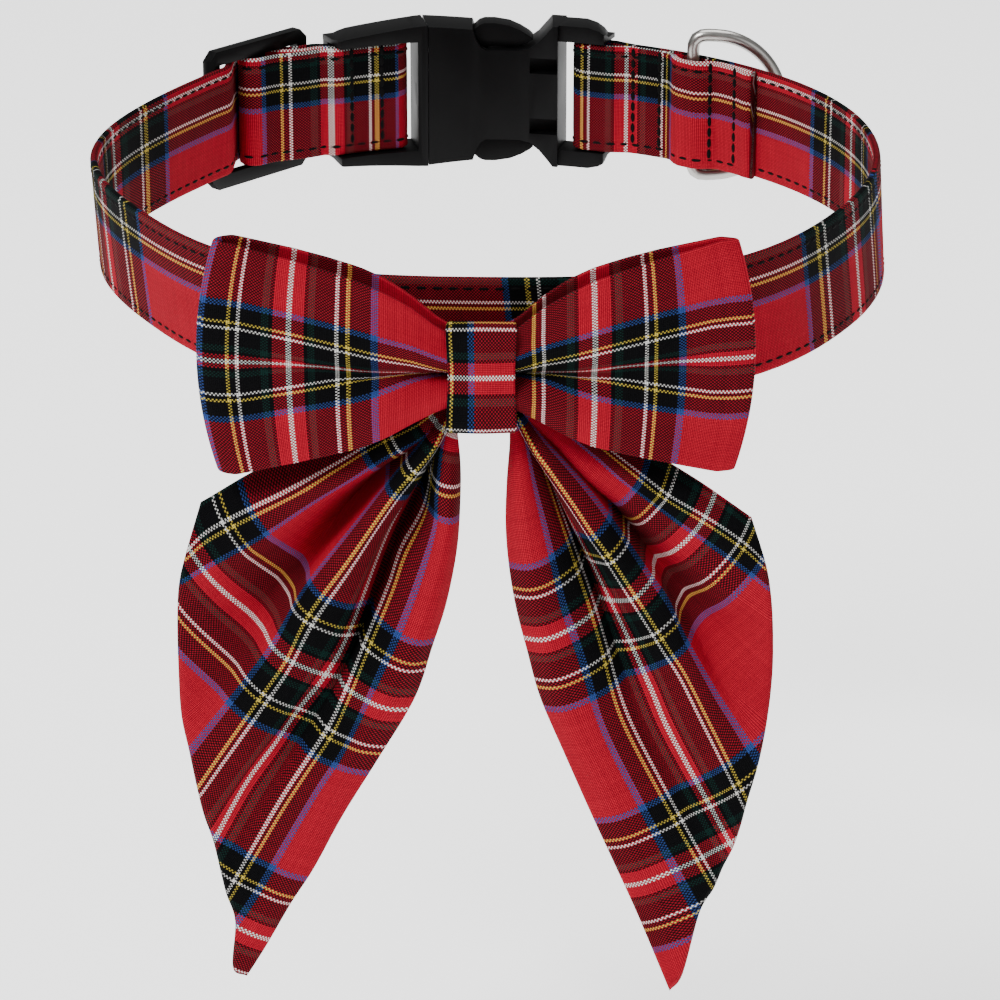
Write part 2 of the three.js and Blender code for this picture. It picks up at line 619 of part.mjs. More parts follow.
// The loops: one band, closed round its two end folds and pinched in the knot
function makeLoops() {
  const surface = (u, v) => {
    const a = 2 * Math.PI * u;
    const out = Math.abs(Math.cos(a));
    const front = Math.sin(a) < 0;
    const high = 2 * v - 1;
    const row = (name) => column(loopShape, 'out', name, out);
    const open = smooth((out - knotWidth / 2 / bowHalfLength) / openReach);
    const depth = THREE.MathUtils.lerp(bowPinchDepth, bowHalfDepth, open) * Math.sqrt(1 - out ** 8);
    const valley = front
      ? valleyDepth * (1 - smooth(out / valleyReach)) * Math.exp(-((high / valleySpread) ** 2)) : 0;
    const x = Math.cos(a) * bowHalfLength * (1 - cornerPull * high * high * out * out);
    return new THREE.Vector3(
      bowCentre + x,
      loopsMiddle + Math.sign(Math.sin(a)) * depth + valley,
      high * row('half') * bowHalfHeight - row('drop') * knotDrop);
  };
  return named('bow_loops', sheetGeometry(surface, 52, 10, bowWall, true), cloth());
}

// A tail: a fan of rays from the knot to the outer edge, pleated across, with outlines blended between
function tailSurface(shape, side) {
  const curve = (rows) => new THREE.CatmullRomCurve3(rows.map(({ out, down }) => new THREE.Vector3(
    bowCentre + side * out * tailSpread, 0, -knotDrop - down * tailLength)), false, 'centripetal');
  const [top, outer, inner] = [curve(shape.top), curve(shape.outer), curve(shape.inner)];
  const start = new THREE.LineCurve3(top.getPoint(0), inner.getPoint(0));
  return (u, v) => {
    const point = top.getPoint(v).multiplyScalar(1 - u)
      .addScaledVector(inner.getPoint(v), u)
      .addScaledVector(start.getPoint(u), 1 - v)
      .addScaledVector(outer.getPoint(u), v)
      .addScaledVector(top.getPoint(0), -(1 - u) * (1 - v))
      .addScaledVector(top.getPoint(1), -(1 - u) * v)
      .addScaledVector(inner.getPoint(0), -u * (1 - v))
      .addScaledVector(inner.getPoint(1), -u * v);
    const below = smooth((-point.z - bowHalfHeight) / tailEase);
    const grow = smooth((v - 0.08) / 0.3) * (1 - 0.6 * smooth((v - 0.5) / 0.5));
    const lift = column(tailPleats, 'across', 'lift', u, smooth) * tailPleat * grow;
    const beside = smooth(Math.abs(point.x - bowCentre) / tailSpread * 3 - 0.4) * (1 - below);
    point.y = tailSeat + beside * tailWall * 0.6 - below * (tailForward + Math.max(lift, -tailPleat))
      - (1 - below) * Math.min(lift, 0) * 0.3;
    return point;
  };
}

function makeTail(name, shape, side) {
  const surface = tailSurface(shape, side);
  const facing = side < 0 ? surface : (u, v) => surface(1 - u, v);
  return named(name, sheetGeometry(facing, 21, 20, tailWall, false), cloth());
}

// The knot: a closed band across the bow's middle
function makeKnot() {
  const outline = (inset) => {
    const [w, h, r] = [knotDepth / 2 - inset, knotHeight / 2 - inset, knotRound - inset * 0.6];
    const points = [];
    for (const [cx, cy, from] of [[1, 1, 0], [-1, 1, 90], [-1, -1, 180], [1, -1, 270]]) {
      for (let k = 0; k <= 4; k++) {
        const a = radians(from + k * 22.5);
        points.push(new THREE.Vector2(cx * (w - r) + r * Math.cos(a), cy * (h - r) + r * Math.sin(a)));
      }
    }
    return points;
  };
  const shape = new THREE.Shape(outline(0));
  shape.holes.push(new THREE.Path(outline(knotWall)));
  const geometry = new THREE.ExtrudeGeometry(shape, { depth: knotWidth, bevelEnabled: false });
  geometry.translate(0, 0, -knotWidth / 2).rotateX(Math.PI / 2).rotateZ(Math.PI / 2);
  const mesh = named('knot_band', geometry, cloth());
  mesh.position.set(bowCentre, knotMiddle, -knotDrop);
  return mesh;
}

const collar = new THREE.Group();
collar.add(
  makeStrap(), makeSlider(), makeMale(), makeFemale(), makeDRing(),
  makeLoops(), makeTail('bow_tail_left', leftTail, -1), makeTail('bow_tail_right', rightTail, 1), makeKnot(),
);

export default collar;
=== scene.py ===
# Looks of a tartan pet collar with a bow tie: cloth strap, bow, tails and knot, black plastic, steel ring.
# Sizes are millimetres in this script and metres in the meshes. Origin: middle of the neck ring, bow at -Y.
import math

import bmesh
import bpy
from mathutils import Matrix, Vector


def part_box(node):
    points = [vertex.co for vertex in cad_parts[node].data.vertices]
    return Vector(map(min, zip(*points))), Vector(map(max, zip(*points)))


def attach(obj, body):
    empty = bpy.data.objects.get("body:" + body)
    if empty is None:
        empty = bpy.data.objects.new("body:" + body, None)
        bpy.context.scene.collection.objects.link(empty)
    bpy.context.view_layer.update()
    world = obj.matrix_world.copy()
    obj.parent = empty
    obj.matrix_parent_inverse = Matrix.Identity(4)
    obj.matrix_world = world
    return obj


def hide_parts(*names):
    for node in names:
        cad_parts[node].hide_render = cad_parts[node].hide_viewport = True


bl_info = {
    "name": "Tartan bow tie collar",
    "version": (1, 0, 0),
    "blender": (4, 5, 0),
    "location": "View3D > Sidebar > Collar",
    "description": "Builds the cloth, plastic and steel surfaces of a pet's bow tie collar",
    "category": "Object",
}

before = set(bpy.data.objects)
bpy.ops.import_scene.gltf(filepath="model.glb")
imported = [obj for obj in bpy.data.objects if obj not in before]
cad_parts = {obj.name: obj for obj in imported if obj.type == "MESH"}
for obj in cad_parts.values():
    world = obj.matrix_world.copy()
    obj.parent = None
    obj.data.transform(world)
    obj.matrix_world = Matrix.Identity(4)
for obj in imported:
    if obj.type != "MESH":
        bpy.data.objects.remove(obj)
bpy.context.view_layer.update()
MM = 0.001


def frame_box(node):
    """Lowest and highest corners of a frame node, in millimetres."""
    low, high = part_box(node)
    return low / MM, high / MM


strap_low, strap_high = frame_box("collar_strap")
loops_low, loops_high = frame_box("bow_loops")
knot_low, knot_high = frame_box("knot_band")

# The places that the pieces of the bow share
KNOT_MIDDLE = (knot_low + knot_high) / 2
BOW_HALF_LENGTH = (loops_high.x - loops_low.x) / 2
BOW_HALF_HEIGHT = (loops_high.z - loops_low.z) / 2
BOW_CENTRE_X = (loops_high.x + loops_low.x) / 2
STRAP_WIDTH = strap_high.z - strap_low.z


def length(name, description, default):
    """A size in millimetres for a property group."""
    return bpy.props.FloatProperty(name=name, description=description, default=default, min=0.0, precision=3)


def colour(name, description, default):
    return bpy.props.FloatVectorProperty(
        name=name, description=description, default=default, size=3, min=0.0, max=1.0, subtype="COLOR")


class TartanSettings(bpy.types.PropertyGroup):
    """The cloth: its sett, its threads and its dyes."""

    long_period: length("Long period", "Repeat of the sett along the strap's length", 60.5)
    short_period: length("Short period", "Repeat of the sett across the strap", 51.0)
    long_thread: length("Long pitch", "Spacing of the threads that lie across the strap", 0.36)
    short_thread: length("Short pitch", "Spacing of the threads that run along the strap", 0.32)
    red: colour("Red", "Ground colour", (0.44, 0.008, 0.024))
    black: colour("Black", "Dark bars", (0.003, 0.003, 0.004))
    green: colour("Green", "Dark green bars", (0.005, 0.030, 0.024))
    blue: colour("Blue", "Blue edge lines", (0.030, 0.072, 0.27))
    white: colour("White", "White lines", (0.80, 0.78, 0.75))
    yellow: colour("Yellow", "Yellow lines", (0.62, 0.47, 0.07))


class ClothSettings(bpy.types.PropertyGroup):
    """Thicknesses of the sewn cloth and its stitches."""

    strap_thick: length("Strap", "Folded cloth over webbing", 1.6)
    loop_wall: length("Loops", "Doubled cloth of the loops", 1.3)
    tail_thick: length("Tails", "Two layers of cloth sewn together", 1.7)
    knot_wall: length("Knot", "Doubled cloth of the knot band", 1.2)
    stitch_length: length("Stitch", "Length of one stitch", 2.3)
    stitch_gap: length("Stitch gap", "Cloth between two stitches", 0.75)
    stitch_inset: length("Stitch inset", "From the strap's edge to its row of stitches", 2.2)


class HardwareSettings(bpy.types.PropertyGroup):
    """Edges of the moulded parts."""

    plastic_edge: length("Moulded edge", "Rounding of the plastic's edges", 0.55)


class StageSettings(bpy.types.PropertyGroup):
    """Camera and floor."""

    camera_back: length("Camera distance", "From the neck's middle to the camera", 1004.8)
    camera_rise: bpy.props.FloatProperty(
        name="Camera rise", description="Angle of the camera above level", default=math.radians(18.0),
        subtype="ANGLE", unit="ROTATION")
    camera_dip: bpy.props.FloatProperty(
        name="Camera dip", description="Angle by which the camera looks down", default=math.radians(21.557),
        subtype="ANGLE", unit="ROTATION")
    camera_turn: bpy.props.FloatProperty(
        name="Camera turn", description="Turn of the camera to the right", default=math.radians(0.145),
        subtype="ANGLE", unit="ROTATION")
    lens: length("Lens", "Focal length on a 36 mm sensor", 171.0)
    floor_drop: length("Floor", "From the neck's middle down to the floor", 190.0)


SETTING_GROUPS = {
    "tartan": TartanSettings,
    "cloth": ClothSettings,
    "hardware": HardwareSettings,
    "stage": StageSettings,
}


def settings(group):
    return getattr(bpy.context.scene, "collar_" + group)


class Signal:
    """A number that varies over a surface. Expressions on it add the Math nodes that they need."""

    def __init__(self, finish, socket):
        self.finish = finish
        self.socket = socket

    def math(self, operation, *values, swapped=False):
        operands = [self, *values]
        if swapped:
            operands.reverse()
        made = self.finish.node("ShaderNodeMath", {"operation": operation}, dict(enumerate(operands)))
        return Signal(self.finish, made.outputs[0])

    def __add__(self, other):
        return self.math("ADD", other)

    def __sub__(self, other):
        return self.math("SUBTRACT", other)

    def __rsub__(self, other):
        return self.math("SUBTRACT", other, swapped=True)

    def __mul__(self, other):
        return self.math("MULTIPLY", other)

    def __truediv__(self, other):
        return self.math("DIVIDE", other)

    def __pow__(self, other):
        return self.math("POWER", other)

    __radd__ = __add__
    __rmul__ = __mul__

    def whole(self):
        return self.math("FLOOR")

    def part(self):
        return self.math("FRACT")

    def above(self, limit):
        return self.math("GREATER_THAN", limit)

    def from_repeat(self, period):
        """Distance to the nearest whole multiple of a period."""
        return self.math("PINGPONG", period / 2)


class Finish:
    """One material and the nodes that make it."""

    def __init__(self, name, **values):
        self.material = bpy.data.materials.new(name)
        self.material.use_nodes = True
        self.tree = self.material.node_tree
        self.shader = self.tree.nodes["Principled BSDF"]
        for socket, value in values.items():
            self.shader.inputs[socket.replace("_", " ")].default_value = value

    def node(self, kind, options=None, inputs=None):
        """Adds a node: its options first, then the values or links of its sockets."""
        made = self.tree.nodes.new(kind)
        for name, value in (options or {}).items():
            if name == "stops":
                self.set_stops(made.color_ramp, value)
            elif name == "interpolation":
                made.color_ramp.interpolation = value
            else:
                setattr(made, name, value)
        for socket, value in (inputs or {}).items():
            self.put(made.inputs[socket], value)
        return made

    def set_stops(self, ramp, stops):
        ramp.elements.remove(ramp.elements[1])
        ramp.elements[0].position = stops[0][0]
        ramp.elements[0].color = (*stops[0][1], 1.0)
        for place, shade in stops[1:]:
            ramp.elements.new(place).color = (*shade, 1.0)

    def put(self, socket, value):
        if isinstance(value, Signal):
            value = value.socket
        if isinstance(value, bpy.types.NodeSocket):
            self.tree.links.new(value, socket)
        else:
            socket.default_value = value

    def signal(self, kind, options=None, inputs=None, output=0):
        return Signal(self, self.node(kind, options, inputs).outputs[output])

    def blend(self, share, first, second, how="MIX"):
        """One colour between two others."""
        made = self.node("ShaderNodeMix", {"data_type": "RGBA", "blend_type": how},
                         {"Factor": share, 6: first, 7: second})
        return made.outputs[2]

    def surface(self, **links):
        for socket, value in links.items():
            self.put(self.shader.inputs[socket.replace("_", " ")], value)

    def bump(self, height, distance, strength=1.0, under=None):
        inputs = {"Height": height, "Distance": distance, "Strength": strength}
        if under is not None:
            inputs["Normal"] = under
        return self.node("ShaderNodeBump", None, inputs).outputs["Normal"]


# Half of each mirrored sett, from its middle outwards: millimetres where a colour starts, and the colour
LONG_SETT = (
    (0.0, "white"), (0.54, "red"), (2.9, "black"), (3.6, "green"), (5.3, "black"), (9.18, "white"),
    (9.9, "black"), (10.98, "yellow"), (11.7, "black"), (15.66, "blue"), (16.92, "red"),
)
SHORT_SETT = (
    (0.0, "white"), (0.48, "red"), (1.44, "black"), (2.0, "green"), (3.4, "black"), (6.56, "white"),
    (7.2, "black"), (7.84, "yellow"), (8.48, "black"), (11.36, "blue"), (12.5, "red"),
)


def sett_colours(finish, place, period, sett, dyes):
    """Colours of the threads at a distance along the cloth."""
    stops = [(start / (period / 2), getattr(dyes, dye)) for start, dye in sett]
    ramp = finish.node(
        "ShaderNodeValToRGB", {"interpolation": "CONSTANT", "stops": stops},
        {"Fac": place.from_repeat(period) / (period / 2)})
    return ramp.outputs["Color"]


def thread_shade(finish, number, seed):
    """Each thread is a little lighter or darker than the next."""
    random = finish.signal("ShaderNodeTexWhiteNoise", {"noise_dimensions": "1D"}, {"W": number + seed})
    return random * 0.22 + 0.89


def tartan():
    """Plain-woven tartan on the cloth's own coordinates, in millimetres."""
    dyes = settings("tartan")
    finish = Finish("tartan_cotton", Roughness=0.9, Specular_IOR_Level=0.06)
    cloth = finish.node("ShaderNodeUVMap", {"uv_map": "cloth"})
    split = finish.node("ShaderNodeSeparateXYZ", None, {0: cloth.outputs[0]})
    along = Signal(finish, split.outputs[0])
    across = Signal(finish, split.outputs[1])
    along_threads = along / dyes.long_thread + 0.5
    across_threads = across / dyes.short_thread + 0.5
    along_number = along_threads.whole()
    across_number = across_threads.whole()
    standing = sett_colours(finish, along_number * dyes.long_thread, dyes.long_period, LONG_SETT, dyes)
    lying = sett_colours(finish, across_number * dyes.short_thread, dyes.short_period, SHORT_SETT, dyes)
    over = ((along_number + across_number) * 0.5).part().above(0.25)
    weave = finish.blend(over, standing, lying)
    # A dark thread below dulls the thread that lies over it
    below = finish.signal("ShaderNodeRGBToBW", None, {0: finish.blend(over, lying, standing)})
    shade_standing = thread_shade(finish, along_number, 0.37)
    shade_lying = thread_shade(finish, across_number, 7.11)
    shade = over * shade_lying + (1 - over) * shade_standing
    # A float's crown is rounded: its height bumps the cloth, and the colour gets a painted highlight on the crown
    # and painted shade in the gaps at its two ends
    crown_along = 1 - (along_threads.part() * 2 - 1) ** 2
    crown_across = 1 - (across_threads.part() * 2 - 1) ** 2
    crown = crown_along * crown_across
    worn = finish.signal(
        "ShaderNodeTexNoise", None, {"Vector": cloth.outputs[0], "Scale": 0.12, "Detail": 3.0})
    dulled = (below * 10).math("MINIMUM", 1.0) * 0.42 + 0.58
    # Painted highlight and painted shade of the crowns, times each thread's own tone, the wear and the dulling by
    # dark threads below
    thread_tone_and_painted_shade = shade * (crown * 0.85 + 0.22) * (worn * 0.24 + 0.88) * dulled
    tone = finish.node("ShaderNodeCombineColor", None, {0: thread_tone_and_painted_shade, 1: thread_tone_and_painted_shade, 2: thread_tone_and_painted_shade})
    finish.surface(Base_Color=finish.blend(1.0, weave, tone.outputs[0], "MULTIPLY"))
    slack = finish.signal(
        "ShaderNodeTexNoise", None, {"Vector": cloth.outputs[0], "Scale": 0.35, "Detail": 2.0})
    folds = finish.bump(slack, 0.5 * MM, 0.5)
    finish.surface(Normal=finish.bump(crown, 0.12 * MM, 0.6, folds))
    return finish.material


def black_plastic():
    """Satin moulded plastic with a fine grain and a little wear."""
    finish = Finish("black_acetal", Specular_IOR_Level=0.09)
    place = finish.node("ShaderNodeTexCoord").outputs["Object"]
    grain = finish.signal("ShaderNodeTexNoise", None, {"Vector": place, "Scale": 2600.0, "Detail": 3.0})
    smear = finish.signal("ShaderNodeTexNoise", None, {"Vector": place, "Scale": 90.0, "Detail": 4.0})
    shade = smear * 0.002 + 0.001
    tone = finish.node("ShaderNodeCombineColor", None, {0: shade, 1: shade, 2: shade * 1.08})
    finish.surface(Base_Color=tone.outputs[0], Roughness=smear * 0.16 + grain * 0.08 + 0.3,
                   Normal=finish.bump(grain, 0.02 * MM, 0.35))
    return finish.material


def nickel():
    """Satin nickel on steel wire, with faint drawing lines."""
    finish = Finish("satin_nickel", Metallic=1.0)
    place = finish.node("ShaderNodeTexCoord").outputs["Object"]
    scratch = finish.signal("ShaderNodeTexNoise", None, {"Vector": place, "Scale": 900.0, "Detail": 4.0})
    cloud = finish.signal("ShaderNodeTexNoise", None, {"Vector": place, "Scale": 120.0, "Detail": 2.0})
    shade = cloud * 0.16 + 0.34
    tone = finish.node("ShaderNodeCombineColor", None, {0: shade, 1: shade * 0.97, 2: shade * 0.92})
    finish.surface(Base_Color=tone.outputs[0], Roughness=scratch * 0.12 + cloud * 0.1 + 0.2,
                   Normal=finish.bump(scratch, 0.01 * MM, 0.3))
    return finish.material


def black_thread():
    """Spun sewing thread."""
    finish = Finish("black_thread", Roughness=0.8, Specular_IOR_Level=0.06)
    place = finish.node("ShaderNodeTexCoord").outputs["Object"]
    twist = finish.signal("ShaderNodeTexNoise", None, {"Vector": place, "Scale": 3000.0, "Detail": 2.0})
    shade = twist * 0.003 + 0.001
    tone = finish.node("ShaderNodeCombineColor", None, {0: shade, 1: shade, 2: shade})
    finish.surface(Base_Color=tone.outputs[0], Normal=finish.bump(twist, 0.05 * MM, 0.6))
    return finish.material


def pale_floor():
    finish = Finish("pale_floor", Roughness=0.9, Specular_IOR_Level=0.1, Base_Color=(0.96, 0.96, 0.96, 1.0),
                    Emission_Color=(1.0, 1.0, 1.0, 1.0), Emission_Strength=1.2)
    return finish.material


MATERIALS = {}


def material(make):
    if make not in MATERIALS:
        MATERIALS[make] = make()
    return MATERIALS[make]


def piece(name, bm, make, body="collar"):
    """Turns a bmesh in millimetres into a piece that rides on a body."""
    bmesh.ops.scale(bm, vec=(MM, MM, MM), verts=bm.verts)
    mesh = bpy.data.meshes.new(name)
    bm.to_mesh(mesh)
    bm.free()
    mesh.shade_smooth()
    made = bpy.data.objects.new(name, mesh)
    bpy.context.scene.collection.objects.link(made)
    mesh.materials.append(material(make))
    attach(made, body)
    return made


def ease(t):
    t = min(max(t, 0.0), 1.0)
    return t * t * (3 - 2 * t)


def mix(a, b, t):
    return a + (b - a) * t


def column(rows, x, smooth=False):
    """Value of a table of (place, value) rows at x."""
    if x <= rows[0][0]:
        return rows[0][1]
    for (x0, y0), (x1, y1) in zip(rows, rows[1:]):
        if x <= x1:
            t = (x - x0) / (x1 - x0)
            return mix(y0, y1, ease(t) if smooth else t)
    return rows[-1][1]


def catmull(values, place):
    """Smooth value between evenly spaced numbers or vectors."""
    i = min(int(place), len(values) - 2)
    t = place - i
    b, c = values[i], values[i + 1]
    a = values[i - 1] if i > 0 else b * 2 - c
    d = values[i + 2] if i + 2 < len(values) else c * 2 - b
    return b + (c - a + (a * 2 - b * 5 + c * 4 - d + ((b - c) * 3 + d - a) * t) * t) * (0.5 * t)


def section(width, thick, flat_steps, round_steps=4):
    """Places round a flat tube's section: the share across its width, and the offset from its middle as a
    share of its thickness."""
    inset = thick / 2 / width
    face = []
    for k in range(round_steps):
        a = math.pi / 2 * k / round_steps
        face.append((inset * (1 - math.cos(a)), math.sin(a) / 2))
    for k in range(flat_steps + 1):
        face.append((mix(inset, 1 - inset, k / flat_steps), 0.5))
    for k in reversed(range(1, round_steps)):
        a = math.pi / 2 * k / round_steps
        face.append((1 - inset * (1 - math.cos(a)), math.sin(a) / 2))
    back = [(1 - across, -offset) for across, offset in face]
    return face + back


def cloth_tube(places, rows, at, closed_along=False):
    """A flat tube of cloth: a grid bent round the section at each row. at(across, offset, row share) gives a
    place in millimetres and the cloth's own two coordinates. A tube that is closed along its rows meets
    itself after the last one, and any other gets a face over each end."""
    bm = bmesh.new()
    columns = len(places)
    bmesh.ops.create_grid(bm, x_segments=columns, y_segments=rows, size=0.5)
    coordinates = {}
    for vert in bm.verts:
        k = round((vert.co.x + 0.5) * columns)
        share = round((vert.co.y + 0.5) * rows) / rows
        across, offset = places[k % columns]
        vert.co, coordinates[vert] = at(across, offset, share)
    layer = bm.loops.layers.uv.new("cloth")
    for face in bm.faces:
        for loop in face.loops:
            loop[layer].uv = coordinates[loop.vert]
    bmesh.ops.remove_doubles(bm, verts=bm.verts, dist=1e-4)
    if not closed_along:
        bmesh.ops.holes_fill(bm, edges=[edge for edge in bm.edges if edge.is_boundary], sides=0)
    bmesh.ops.recalc_face_normals(bm, faces=bm.faces)
    return bm


def frame_copy(node):
    """A merged copy of a frame node's mesh, in millimetres."""
    bm = bmesh.new()
    bm.from_mesh(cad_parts[node].data)
    bmesh.ops.scale(bm, vec=(1 / MM, 1 / MM, 1 / MM), verts=bm.verts)
    bmesh.ops.remove_doubles(bm, verts=bm.verts, dist=0.002)
    return bm


class StrapPath:
    """The strap's middle line, walked along the upper and lower rims of the frame's strap."""

    def __init__(self):
        bm = frame_copy("collar_strap")
        upper = self.rim(bm, strap_high.z)
        lower = self.rim(bm, strap_low.z)
        bm.free()
        self.points = list(zip(self.middle(upper), self.middle(lower)))
        self.arcs = [0.0]
        for (a, _), (b, _) in zip(self.points, self.points[1:]):
            self.arcs.append(self.arcs[-1] + (b - a).length)
        self.length = self.arcs[-1]

    def rim(self, bm, height):
        """Places of one rim's vertices, in order round the strap."""
        near = 0.01
        edges = [e for e in bm.edges if all(abs(v.co.z - height) < near for v in e.verts)
                 and len(e.link_faces) == 2
                 and min(abs(face.normal.z) for face in e.link_faces) < 0.5]
        links = {}
        for edge in edges:
            for vert in edge.verts:
                links.setdefault(vert, []).append(edge)
        start = edges[0].verts[0]
        order, vert, edge = [start], start, links[start][0]
        while True:
            vert = edge.other_vert(vert)
            if vert == start:
                break
            order.append(vert)
            edge = next(e for e in links[vert] if e != edge)
        return [v.co.copy() for v in order]

    def middle(self, rim):
        """Pairs the rim's two sides, from the square end further to +X to the other one."""
        count = len(rim)
        turns = []
        for i in range(count):
            before = (rim[i] - rim[i - 1]).normalized()
            after = (rim[(i + 1) % count] - rim[i]).normalized()
            turns.append(before.angle(after))
        corners = sorted(range(count), key=lambda i: -turns[i])[:4]
        ends = [i for i in corners if (i + 1) % count in corners]
        first = max(ends, key=lambda i: rim[i].x)
        return [(rim[(first + 1 + k) % count] + rim[(first - k) % count]) / 2 for k in range(count // 2)]

    def at(self, arc):
        """Points on the upper and lower rims at an arc from the sewn end."""
        arc = min(max(arc, 0.0), self.length)
        low, high = 0, len(self.arcs) - 1
        while high - low > 1:
            half = (low + high) // 2
            if self.arcs[half] <= arc:
                low = half
            else:
                high = half
        t = (arc - self.arcs[low]) / (self.arcs[high] - self.arcs[low])
        return tuple(self.points[low][i].lerp(self.points[high][i], t) for i in (0, 1))

    def normal(self, arc):
        """Outward direction at an arc."""
        step = 0.4
        ahead, behind = self.at(arc + step)[0], self.at(arc - step)[0]
        heading = (ahead - behind).normalized()
        return Vector((-heading.y, heading.x, 0))


# Arc from the sewn end, and the place in the long sett there
STRAP_SETT = (
    (0, 22.5), (23.5, 44.2), (25.3, 49.2), (36.1, 60.5), (44.8, 70), (46.2, 71.8), (50, 75.6),
    (51.5, 98.1), (118.6, 165.2), (124.2, 170.2), (126.6, 172), (138.2, 181.5), (148, 193), (152, 198),
    (176, 224), (182.4, 225.7), (185.8, 230.7), (188.9, 232.5), (200, 242), (214.9, 251.5), (218, 253.3),
    (223.8, 258.3), (275.8, 302.5), (285.3, 312), (287.4, 313.8), (291.7, 318.8), (345, 379.3),
    (382.7, 407.2), (389.4, 412.2), (392.2, 414), (404.6, 423.5), (412, 433), (414, 434.8), (418, 439.8),
    (432, 467.7), (440.5, 484), (456.3, 493.5), (458.6, 495.3), (467.7, 500.3), (502, 527.5),
    (545.5, 571.5), (549.5, 588.7), (554.5, 593.7), (556.3, 595.5), (565.1, 605), (575, 614.5),
    (577.2, 616.3), (582.3, 621.3), (624, 662.5),
)
# Arc from the sewn end, and the place in the short sett of the strap's upper edge
STRAP_TOP_SETT = (
    (0, -0.5), (16, -0.3), (26, 0.3), (47, 0.5), (54, 1.9), (540, 1.9), (550, -0.1), (624, -0.1),
)
END_ROLL = 0.75          # extra thickness of the sewn end's hem
STITCH_DIP = 0.16        # share of the strap's thickness that its stitches press down


def strap_place(path, arc, across, reach):
    """A place on the strap: share across from the upper edge, and reach to the outer side of its middle."""
    upper, lower = path.at(arc)
    return upper.lerp(lower, across) + path.normal(arc) * reach


def make_strap_cloth(path):
    cloth = settings("cloth")
    step = 1.25
    rows = math.ceil(path.length / step)
    places = section(STRAP_WIDTH, cloth.strap_thick, 12)

    def at(across, offset, share):
        arc = path.length * share
        # The cloth stands proud of its two rows of stitches and dips at them
        edge = min(across, 1 - across) * STRAP_WIDTH
        dip = STITCH_DIP * math.exp(-((edge - cloth.stitch_inset) / 0.6) ** 2)
        side = 1 if offset > 0 else -1
        thick = cloth.strap_thick * (1 - dip)
        if offset > 0:
            thick += END_ROLL * 2 * math.exp(-((arc - 1.8) / 1.8) ** 2)
        down = across * STRAP_WIDTH
        return strap_place(path, arc, across, offset * thick), (
            column(STRAP_SETT, arc), column(STRAP_TOP_SETT, arc) + side * down)

    bm = cloth_tube(places, rows, at)
    strap = piece("collar_cloth", bm, tartan)
    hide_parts("collar_strap")


# Arcs of the rows of stitches that run across the inner layers, beside the ring and beside the buckle
CROSS_ROWS = (5.2, 12.6, 27.6, 34.3, 553.2, 560.5)
STITCH_WIDE = 0.72
CROSS_WIDE = 1.0         # the stitches of a row across the strap are fuller
CROSS_GAP = 0.2          # cloth between two stitches of such a row
CROSS_PROUD = 0.16       # how much higher they lie
STITCH_HIGH = 0.42


def add_stitch(bm, place, heading, outward, wide):
    """One stitch: a short grain of thread that lies along its heading."""
    size = Matrix.Diagonal((settings("cloth").stitch_length, wide, STITCH_HIGH, 1))
    turn = Matrix((heading, outward.cross(heading), outward)).transposed().to_4x4()
    bmesh.ops.create_icosphere(bm, subdivisions=2, radius=0.5, matrix=Matrix.Translation(place) @ turn @ size)


def make_stitches(path):
    cloth = settings("cloth")
    bm = bmesh.new()
    step = cloth.stitch_length + cloth.stitch_gap
    proud = cloth.strap_thick * 0.43
    inset = cloth.stitch_inset / STRAP_WIDTH
    for across in (inset, 1 - inset):
        for k in range(1, int(path.length / step)):
            arc = k * step
            heading = (path.at(arc + 0.5)[0] - path.at(arc - 0.5)[0]).normalized()
            for face in (-1, 1):
                outward = path.normal(arc) * face
                add_stitch(bm, strap_place(path, arc, across, proud * face), heading, outward, STITCH_WIDE)
    step = cloth.stitch_length + CROSS_GAP
    for arc in CROSS_ROWS:
        for k in range(int(STRAP_WIDTH / step)):
            across = (k + 0.5) * step / STRAP_WIDTH
            place = strap_place(path, arc, across, proud + CROSS_PROUD)
            add_stitch(bm, place, Vector((0, 0, 1)), path.normal(arc), CROSS_WIDE)
    piece("strap_stitches", bm, black_thread)


# Loops from the knot to the end fold: share of the way out, and the height as a share of the open end's;
# then the fall of the loop's middle, as a share of the knot's fall
LOOP_HALF = ((0, 0.26), (0.13, 0.33), (0.24, 0.5), (0.33, 0.62), (0.43, 0.72), (0.55, 0.8), (0.68, 0.875),
             (0.93, 1), (1, 1))
LOOP_DROP = ((0, 0.7), (0.13, 0.65), (0.24, 0.3), (0.33, 0.24), (0.43, 0.18), (0.55, 0.1), (0.68, 0.04),
             (0.93, 0), (1, 0))
LOOPS_CENTRE_X = BOW_CENTRE_X - 0.6
LOOP_DEPTH = 4.75        # half the depth of an open loop
PINCH_DEPTH = 3.0        # and of the band inside the knot
PINCH_OUT = 6.7          # where the band leaves the knot and starts to open
KNOT_DROP = -KNOT_MIDDLE.z
LOOP_CORNER_PULL = 0.07  # how far the end fold's corners draw in, as a share of the loop
LOOP_LENGTH = BOW_HALF_LENGTH - 1.25
RIGHT_LOOP_SHORTER = 0.9
LOOP_VALLEY = 4.2        # depth of the crease beside the knot
LOOP_RIDGE = 1.1         # height of the two soft ridges beside it
LOOP_END_FLAT = (0.45, 0.8)     # how much the left and the right loop flatten towards their ends
CREASE_TAKES = 8.5       # width of cloth that each side of the middle crease swallows
CREASE_LOW = 0.26        # how far below the middle the crease starts, as a share of half height
# Distance from the bow's middle, and the place in the long sett there
LOOP_SETT = (
    (-53.75, -16.65), (-36.4, 0), (-27.3, 9.54), (-24.9, 11.34), (-20.0, 16.3), (0, 37.1), (10.7, 49.16),
    (12.7, 50.96), (22.4, 60.5), (32.4, 70.04), (34.2, 71.84), (39.2, 76.8), (52.85, 90.4),
)


